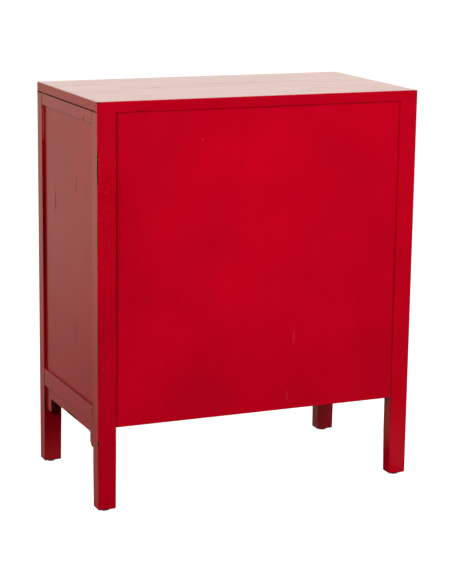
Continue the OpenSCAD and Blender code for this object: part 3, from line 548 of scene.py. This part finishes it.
# The grain's axis and the options of lacquer, for nodes whose names start with these words: the first counts
LACQUERED = {
    "top_board": ("x", dict(coat=0.6, marks=TOP_MARKS, dull=TOP_DULL, cloud=0.5, ior=WEAK_SHINE)),
    "leg_back_right": ("z", dict(dust=(0.33, back_y, 0.62), marks=NEAR_LEG_MARKS, dull=NEAR_LEG_PAINTED_SHADE,
                                 ior=STRONG_SHINE)),
    "leg_front_right": ("z", dict(line=0.6, marks=FAR_LEG_PAINTED_LIGHT, dull=FAR_LEG_PAINTED_SHADE)),
    "leg_front_left": ("z", dict(line=0.6, dull=HIDDEN_LEG_PAINTED_SHADE)),
    "leg_": ("z", dict(line=0.6)),
    "side_panel_right": ("z", dict(marks=PANEL_CRACKS, ior=WEAK_SHINE)),
    "side_panel_": ("z", dict(ior=WEAK_SHINE)),
    "side_top_rail_right": ("y", dict(seam=0.5, marks=TOP_RAIL_MARKS)),
    "side_top_rail_": ("y", dict(seam=0.5)),
    "side_bottom_rail_right": ("y", dict(seam=0.45, marks=BOTTOM_RAIL_MARKS)),
    "side_bottom_rail_": ("y", dict(seam=0.45)),
    "side_apron_right": ("y", dict(bare=0.0055, marks=APRON_CHIPS)),
    "side_apron_": ("y", dict(bare=0.0055)),
    "back_panel": ("z", dict(line=0.0, seam=0.5, marks=BACK_MARKS, dull=BACK_TONE_AND_GROOVE_SHADE, streak=0.08)),
    "front_top_rail": ("x", dict(seam=0.35)),
    "front_middle_rail": ("x", dict(seam=0.35)),
    "front_bottom_rail": ("x", dict(seam=0.35)),
    "front_apron": ("x", {}),
    "drawer_divider": ("z", dict(seam=0.35)),
    "door_left_rails": ("x", dict(seam=0.3)),
    "door_right_rails": ("x", dict(seam=0.3)),
    "door_left_": ("z", {}),
    "door_right_": ("z", {}),
    "drawer_left_front": ("x", {}),
    "drawer_right_front": ("x", {}),
}


def finish_nodes(brass, steel, grey):
    """Gives every CAD node its material: the lacquer's patterns are shifted from node to node."""
    wood = {axis: plain_wood("oiled_wood_" + axis, axis) for axis in "xyz"}
    for count, (name, node) in enumerate(sorted(nodes.items())):
        low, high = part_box(name)
        if name.endswith(("_pull", "_ring", "_pins")):
            give(node, brass)
        elif name.endswith(("screws", "_strike")):
            give(node, steel)
        elif name in ("glides", "magnetic_catch"):
            give(node, grey)
        else:
            found = next((LACQUERED[start] for start in LACQUERED if name.startswith(start)), None)
            if found:
                grain, options = found
                shift = (count * 0.37, count * 0.61, 0)
                give(node, lacquer("lacquer_" + name, low, high, grain, shift, **options))
            else:
                size = high - low
                longest = max(range(3), key=lambda axis: size[axis])
                give(node, wood["xyz"[longest]])


# Fittings, whose sizes are in millimetres

BASE_RADIUS = 15
EYE_RADIUS, EYE_WIRE, EYE_OUT = 3.35, 1.15, 8.5
RING_RADIUS, RING_WIRE = 13, 1.75
GLIDE_RADIUS, GLIDE_TOP = 9.5, 4.0
HEAD_RADIUS, CORE_RADIUS, THREAD_RADIUS = 3.8, 1.45, 1.95
THREAD_PITCH = 1.4
CROSS_WIDTH = 0.75
PLATE_SIZE = (52, 5.2, 1.5)
TOP_SCREW_X = (-250, -90, 90, 250)
CLEAT_SCREW_Y = (-88.5, 101.5)
CLEAT_SCREW_XZ = ((310, 193), (319, 402))

DOORS = ["door_left", "door_right"]
DRAWERS = ["drawer_left", "drawer_right"]
QUARTER_TURN = math.pi / 2


def begin(add, name, **where):
    """Adds a start shape at its size and place, and opens it for shaping."""
    bpy.ops.object.select_all(action="DESELECT")
    add(**where)
    piece = bpy.context.object
    piece.name = piece.data.name = name
    bpy.ops.object.transform_apply()
    bpy.ops.object.mode_set(mode="EDIT")
    bpy.ops.mesh.select_all(action="DESELECT")
    return piece


def pick(piece, kind, test):
    """Selects the faces whose middle and normal, or the edges whose middle and direction, pass a test."""
    bpy.ops.mesh.select_mode(type=kind)
    bpy.ops.mesh.select_all(action="DESELECT")
    mesh = bmesh.from_edit_mesh(piece.data)
    if kind == "FACE":
        for face in mesh.faces:
            if test(face.calc_center_median(), face.normal):
                face.select_set(True)
    else:
        for edge in mesh.edges:
            a, b = (corner.co for corner in edge.verts)
            if test((a + b) / 2, (b - a).normalized()):
                edge.select_set(True)
    bmesh.update_edit_mesh(piece.data)


def step_rings(*steps):
    """Steps the chosen face in rings, as on a turned piece: each step is (inwards, outwards)."""
    for inwards, outwards in steps:
        bpy.ops.mesh.inset(thickness=inwards * MM, depth=outwards * MM)


def done(piece, angle=35):
    bpy.ops.object.mode_set(mode="OBJECT")
    bpy.ops.object.shade_smooth_by_angle(angle=math.radians(angle))
    return piece


def cut(piece, cutter):
    """Takes a cutter's shape out of a piece."""
    bpy.ops.object.select_all(action="DESELECT")
    bpy.context.view_layer.objects.active = piece
    piece.select_set(True)
    modifier = piece.modifiers.new("cut", "BOOLEAN")
    modifier.operation = "DIFFERENCE"
    modifier.solver = "EXACT"
    modifier.object = cutter
    bpy.ops.object.modifier_apply(modifier="cut")
    bpy.data.objects.remove(cutter)


def placed_copy(piece, name, change):
    """A copy with its own mesh, moved in that mesh."""
    mesh = piece.data.copy()
    mesh.name = name
    mesh.transform(change)
    copy = bpy.data.objects.new(name, mesh)
    bpy.context.scene.collection.objects.link(copy)
    return copy


def model_pull(middle, face):
    """Turned base with a beaded rim and a raised middle, and the eye on its neck."""
    depth = 0.9 * MM
    pull = begin(bpy.ops.mesh.primitive_cylinder_add, "door_left_brass_pull", vertices=64,
                 radius=BASE_RADIUS * MM, depth=depth, location=middle + Vector((0, face - depth / 2, 0)),
                 rotation=(QUARTER_TURN, 0, 0))
    pick(pull, "FACE", lambda place, normal: normal.y < -0.9)
    step_rings((0.3, 0.5), (0.6, 0.35), (0.6, 0.05), (0.6, -0.15), (0.5, -0.4), (0.4, -0.25), (2.5, -0.15),
               (2.1, 0.15), (0.3, 0.2), (0.1, 0.7), (0.2, 0.4), (0.4, 0.35), (0.7, 0.2), (1.5, 0.05),
               (1.1, 0.15), (0.8, 0.35), (0.5, 0.6), (0.15, 1.0))
    eye = middle + Vector((0, face - EYE_OUT * MM, 0))
    bpy.ops.mesh.primitive_torus_add(
        location=eye, rotation=(0, QUARTER_TURN, 0), major_radius=EYE_RADIUS * MM, minor_radius=EYE_WIRE * MM,
        major_segments=48, minor_segments=16)
    bpy.ops.transform.resize(value=(1.7, 1, 1), center_override=eye)
    return done(pull, 40)


def model_ring(middle, face):
    """Drawn ring, worn a little thinner where it hangs in the eye."""
    hanging = middle + Vector((0, face - EYE_OUT * MM, -RING_RADIUS * MM))
    ring = begin(bpy.ops.mesh.primitive_torus_add, "door_left_brass_ring", rotation=(QUARTER_TURN, 0, 0),
                 location=hanging, major_radius=RING_RADIUS * MM, minor_radius=RING_WIRE * MM,
                 major_segments=96, minor_segments=20)
    for level in (-6, -3, -1, 0.5):
        pick(ring, "FACE", lambda place, normal: place.z > middle.z + level * MM)
        bpy.ops.transform.shrink_fatten(value=-0.07 * MM)
    return done(ring, 80)


def model_glide(middle):
    """Moulded foot with a rounded rim and a recess for its nail."""
    depth = 1.8 * MM
    top = GLIDE_TOP * MM
    glide = begin(bpy.ops.mesh.primitive_cylinder_add, "glide_0", vertices=64, radius=GLIDE_RADIUS * MM,
                  depth=depth, location=middle + Vector((0, 0, top - depth / 2)))
    pick(glide, "EDGE", lambda place, direction: place.z > top - 0.1 * MM and abs(direction.z) < 0.1)
    bpy.ops.mesh.bevel(offset=0.3 * MM, segments=2)
    pick(glide, "FACE", lambda place, normal: normal.z < -0.9)
    step_rings((0.4, 0.0), (0.0, 0.9), (0.15, 0.5), (0.35, 0.45), (0.6, 0.3), (0.5, 0.05), (4.0, 0.0),
               (0.15, -0.15), (0.05, -1.0))
    return done(glide)


def model_nail(middle):
    """Round nail with a domed head, driven up into the leg."""
    nail = begin(bpy.ops.mesh.primitive_cylinder_add, "glide_nail_0", vertices=32, radius=2.6 * MM,
                 depth=0.3 * MM, location=middle + Vector((0, 0, 1.0 * MM)))
    pick(nail, "FACE", lambda place, normal: normal.z < -0.9)
    step_rings((0.3, 0.15), (0.6, 0.15), (0.8, 0.08))
    pick(nail, "FACE", lambda place, normal: normal.z > 0.9)
    step_rings((1.4, 0.05), (0.1, 0.3), (0.0, 14.0), (0.5, 1.6), (0.4, 0.6))
    return done(nail)


def cut_cross(screw, head):
    """Cuts a cross recess, narrower at its end, into a screw's head."""
    arm, width, depth = head * 1.15 * MM, CROSS_WIDTH * MM, 1.6 * MM
    middle = (0, 0, 0.4 * MM)
    cross = begin(bpy.ops.mesh.primitive_cube_add, "cross_cutter", size=1, location=middle,
                  scale=(arm, width, depth))
    bpy.ops.mesh.primitive_cube_add(size=1, location=middle, scale=(width, arm, depth))
    pick(cross, "FACE", lambda place, normal: normal.z > 0.9)
    bpy.ops.transform.resize(value=(0.55, 0.55, 1), center_override=(0, 0, 0))
    cut(screw, done(cross))


def add_thread(screw, core, thread, length):
    """Winds a thread round a screw's core and joins it to the screw."""
    root, corner = core + 0.1, 0.5
    thread_start = (root * MM, 0, length * 0.3 * MM)
    coil = begin(bpy.ops.mesh.primitive_circle_add, "coil", vertices=3, radius=corner * MM, fill_type="NGON",
                 location=thread_start, rotation=(QUARTER_TURN, math.pi / 6, 0))
    bpy.ops.transform.resize(value=((thread - root) / corner, 1, 0.55), center_override=thread_start)
    done(coil)
    turn = coil.modifiers.new("turn", "SCREW")
    turn.axis = "Z"
    turn.screw_offset = THREAD_PITCH * MM
    turn.iterations = int((length * 0.7 - 4.5) / THREAD_PITCH)
    turn.steps = turn.render_steps = 20
    bpy.ops.object.modifier_apply(modifier="turn")
    screw.select_set(True)
    bpy.context.view_layer.objects.active = screw
    bpy.ops.object.join()
    bpy.ops.object.shade_smooth_by_angle(angle=math.radians(35))


def model_screw(name, length, head=HEAD_RADIUS, core=CORE_RADIUS, thread=THREAD_RADIUS):
    """Countersunk wood screw that points up from the origin, with a cross recess and a cut thread."""
    screw = begin(bpy.ops.mesh.primitive_cylinder_add, name, vertices=48, radius=head * MM, depth=0.3 * MM,
                  location=(0, 0, 0.15 * MM))
    pick(screw, "FACE", lambda place, normal: normal.z > 0.9)
    step_rings((head - core - 0.4, 1.7), (0.4, 0.6), (0.0, length * 0.25), (0.0, length * 0.75 - 5.6),
               (core * 0.5, 2.0), (core * 0.35, 0.9))
    pick(screw, "EDGE", lambda place, direction: place.z < 0.01 * MM and abs(direction.z) < 0.1)
    bpy.ops.mesh.bevel(offset=0.12 * MM, segments=2)
    done(screw)
    cut_cross(screw, head)
    add_thread(screw, core, thread, length)
    return screw


def model_catch():
    """Moulded magnet housing with a pocket in its face and two steel plates in the pocket."""
    low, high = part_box("magnetic_catch")
    middle = (low + high) / 2
    housing = begin(bpy.ops.mesh.primitive_cube_add, "catch_housing", size=1, location=middle,
                    scale=high - low)
    pick(housing, "EDGE", lambda place, direction: abs(direction.z) > 0.9)
    bpy.ops.mesh.bevel(offset=2.5 * MM, segments=5)
    pick(housing, "FACE", lambda place, normal: normal.y < -0.9)
    step_rings((1.6, 0.0), (0.2, -0.3), (0.0, -5.0))
    rim = 6.4 * MM
    pick(housing, "EDGE", lambda place, direction: abs(direction.z) < 0.1 and abs(place.z - middle.z) > rim)
    bpy.ops.mesh.bevel(offset=0.5 * MM, segments=2)
    done(housing)

    plates = []
    front = low.y + 1 * MM
    for level, side in (("lower", -1), ("upper", 1)):
        place = (middle.x, low.y + 3.0 * MM, middle.z + side * 3.5 * MM)
        plate = begin(bpy.ops.mesh.primitive_cube_add, "catch_plate_" + level, size=1, location=place,
                      scale=Vector(PLATE_SIZE) * MM)
        pick(plate, "EDGE", lambda place, direction: abs(direction.x) < 0.1 and place.y < front)
        bpy.ops.mesh.bevel(offset=0.5 * MM, segments=3)
        pick(plate, "EDGE", lambda place, direction: abs(direction.x) > 0.9 and place.y < front)
        bpy.ops.mesh.bevel(offset=0.25 * MM, segments=2)
        plates.append(done(plate))
    return housing, plates


def model_strike(name, node):
    """Steel plate with rounded corners and a countersunk hole."""
    low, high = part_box(node)
    middle = (low + high) / 2
    strike = begin(bpy.ops.mesh.primitive_cube_add, name, size=1, location=middle, scale=high - low)
    pick(strike, "EDGE", lambda place, direction: abs(direction.y) > 0.9)
    bpy.ops.mesh.bevel(offset=2.0 * MM, segments=6)
    pick(strike, "EDGE", lambda place, direction: abs(direction.y) < 0.1 and place.y > middle.y)
    bpy.ops.mesh.bevel(offset=0.2 * MM, segments=2)
    done(strike)
    spot = (middle.x, middle.y + 0.05 * MM, middle.z)
    hole = begin(bpy.ops.mesh.primitive_cone_add, "hole_cutter", vertices=48, radius1=1.4 * MM,
                 radius2=3.2 * MM, depth=1.8 * MM, location=spot, rotation=(-QUARTER_TURN, 0, 0))
    cut(strike, done(hole))
    return strike


def settle(piece, body, slot, material, *replaced):
    """Gives a finished piece its material and its body, and hides the nodes that it stands for."""
    give(piece, material)
    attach(piece, body)
    if replaced:
        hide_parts(*replaced)


def remove(*templates):
    for template in templates:
        bpy.data.objects.remove(template)


def add_pulls(brass):
    """A pull and a ring on each door and drawer."""
    low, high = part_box("door_left_pull")
    first = Vector(((low.x + high.x) / 2, 0, (low.z + high.z) / 2))
    pull = model_pull(first, front_y)
    ring = model_ring(first, front_y)
    for name in DOORS + DRAWERS:
        low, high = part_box(name + "_pull")
        shift = Matrix.Translation(((low.x + high.x) / 2 - first.x, 0, (low.z + high.z) / 2 - first.z))
        settle(placed_copy(pull, name + "_turned_pull", shift), name, "brass", brass, name + "_pull")
        settle(placed_copy(ring, name + "_drawn_ring", shift), name + "_ring", "brass", brass, name + "_ring")
    remove(pull, ring)


def add_glides(grey, steel):
    """A glide and its nail under each leg."""
    low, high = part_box("glides")
    across = high.x - low.x - 2 * GLIDE_RADIUS * MM
    along_side = high.y - low.y - 2 * GLIDE_RADIUS * MM
    foot = Vector((high.x - GLIDE_RADIUS * MM, high.y - GLIDE_RADIUS * MM, 0))
    glide, nail = model_glide(foot), model_nail(foot)
    for count, (x, y) in enumerate([(0, 0), (-1, 0), (0, -1), (-1, -1)], start=1):
        shift = Matrix.Translation((x * across, y * along_side, 0))
        settle(placed_copy(glide, "glide_%d" % count, shift), "case", "grey_plastic", grey, "glides")
        settle(placed_copy(nail, "glide_nail_%d" % count, shift), "case", "steel", steel, "glides")
    remove(glide, nail)


def add_catch(grey, steel):
    """The catch that holds both doors."""
    housing, plates = model_catch()
    settle(housing, "case", "grey_plastic", grey, "magnetic_catch")
    for plate in plates:
        settle(plate, "case", "steel", steel, "magnetic_catch")


def add_screws(steel):
    """Screws up into the top board, and outwards into the side rails."""
    screw = model_screw("long_screw", 32)
    low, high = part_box("top_screws")
    places = [(x * MM, y, low.z) for x in TOP_SCREW_X
              for y in (low.y + HEAD_RADIUS * MM, high.y - HEAD_RADIUS * MM)]
    for count, place in enumerate(places, start=1):
        move = Matrix.Translation(place)
        settle(placed_copy(screw, "top_screw_%d" % count, move), "case", "steel", steel, "top_screws")
    remove(screw)

    screw = model_screw("short_screw", 24)
    places = [(side, Vector((side * x, y, z)) * MM) for side in (-1, 1)
              for y in CLEAT_SCREW_Y for x, z in CLEAT_SCREW_XZ]
    for count, (side, place) in enumerate(places, start=1):
        move = Matrix.Translation(place) @ Matrix.Rotation(side * QUARTER_TURN, 4, "Y")
        settle(placed_copy(screw, "cleat_screw_%d" % count, move), "case", "steel", steel, "cleat_screws")
    remove(screw)


def add_strikes(steel):
    """A strike plate and its screw on each door."""
    screw = model_screw("small_screw", 12, head=2.9, core=1.0, thread=1.4)
    for name in DOORS:
        low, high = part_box(name + "_strike")
        strike = model_strike(name + "_steel_strike", name + "_strike")
        settle(strike, name, "steel", steel, name + "_strike")
        place = ((low.x + high.x) / 2, high.y - 0.15 * MM, (low.z + high.z) / 2)
        move = Matrix.Translation(place) @ Matrix.Rotation(QUARTER_TURN, 4, "X")
        settle(placed_copy(screw, name + "_strike_screw", move), name, "steel", steel)
    remove(screw)


def build_fittings(brass, steel, grey):
    add_pulls(brass)
    add_glides(grey, steel)
    add_catch(grey, steel)
    add_screws(steel)
    add_strikes(steel)


add_camera()
build_studio()
aged_brass = metal("aged_brass", (0.60, 0.42, 0.18), (0.28, 0.19, 0.09), 0.24)
zinc_steel = metal("zinc_steel", (0.62, 0.63, 0.65), (0.40, 0.40, 0.41), 0.3)
grey_plastic = plastic("grey_plastic", (0.60, 0.60, 0.58), (0.32, 0.30, 0.27))
finish_nodes(aged_brass, zinc_steel, grey_plastic)
build_fittings(aged_brass, zinc_steel, grey_plastic)
